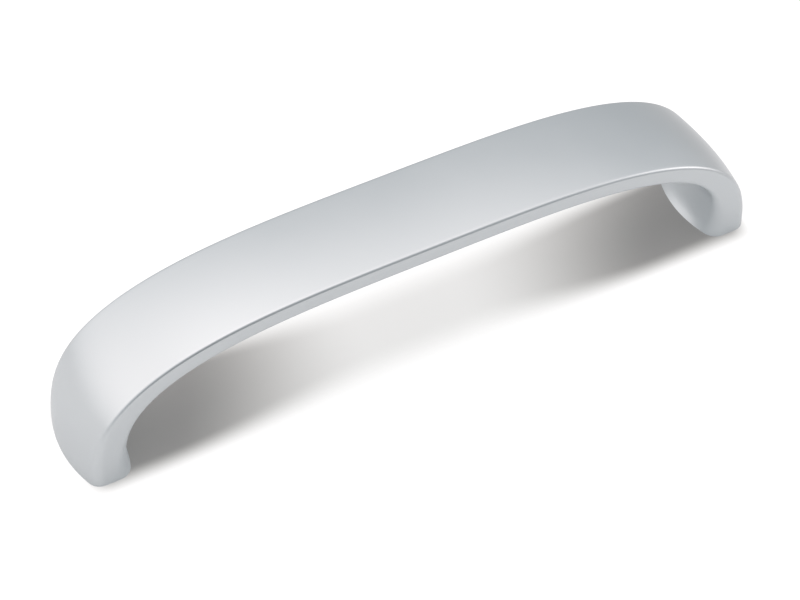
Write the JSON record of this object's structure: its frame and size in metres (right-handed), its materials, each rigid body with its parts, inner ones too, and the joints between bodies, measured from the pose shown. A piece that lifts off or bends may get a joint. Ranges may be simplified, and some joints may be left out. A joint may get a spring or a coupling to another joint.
{
  "type": "cabinet handle",
  "caption": "Cast bow handle for a cabinet door or drawer: a crowned ribbon arching over a finger gap between two screw feet, in satin chrome.",
  "frame": {"origin": "on the door face, midway between the two screw holes", "axes": "+X along the handle through the screw holes, +Y across its width, +Z away from the door"},
  "size_m": [0.1386, 0.0202, 0.0288],
  "materials": {
    "satin_chrome": "satin"
  },
  "bodies": {
    "root": {"handle": "satin_chrome"}
  },
  "joints": []
}
